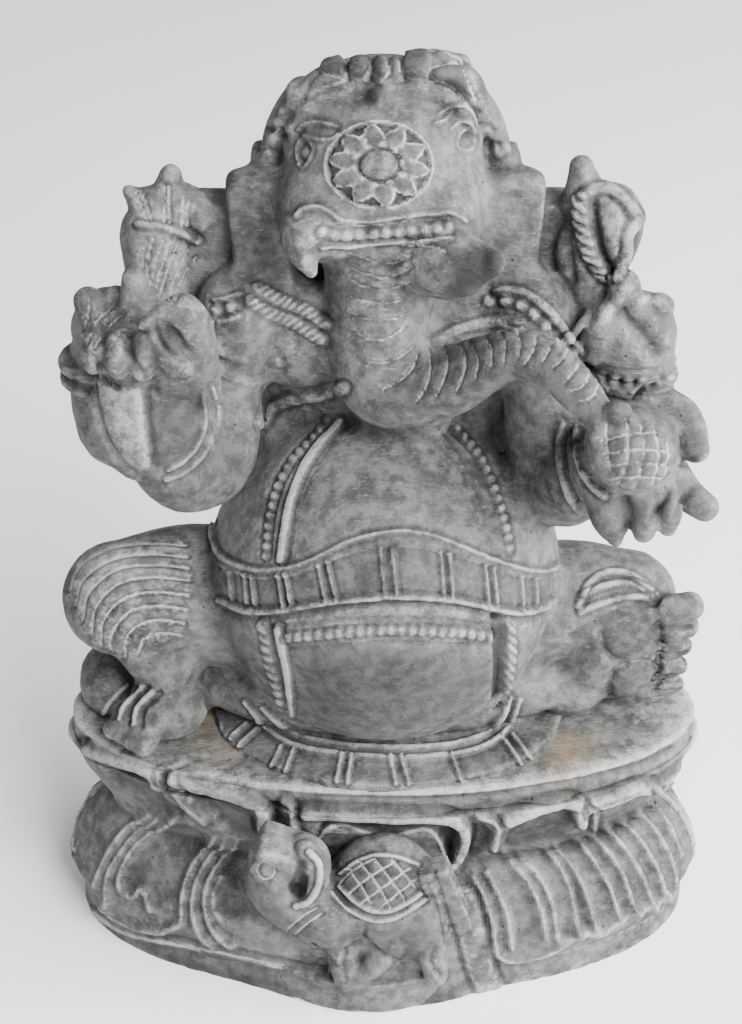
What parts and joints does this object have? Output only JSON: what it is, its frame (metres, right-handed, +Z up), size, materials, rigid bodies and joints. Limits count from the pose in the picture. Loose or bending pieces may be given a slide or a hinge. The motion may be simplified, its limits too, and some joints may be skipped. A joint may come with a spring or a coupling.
{
  "type": "carved stone statue of Ganesha",
  "caption": "Seated four-armed Ganesha on an oval double lotus pedestal with his mouse, carved in grey stone; stands on its flat underside.",
  "frame": {"origin": "middle of the flat underside of the pedestal, on the surface that the statue stands on", "axes": "+Z up, -Y towards the viewer of the statue's front, +X to the viewer's right"},
  "size_m": [0.1562, 0.0822, 0.2204],
  "materials": {
    "grey_stone": "hand-chiselled and rubbed, matt, with pale chalky dust in the cuts"
  },
  "bodies": {
    "root": {"ganesha_statue": "grey_stone"}
  },
  "joints": []
}
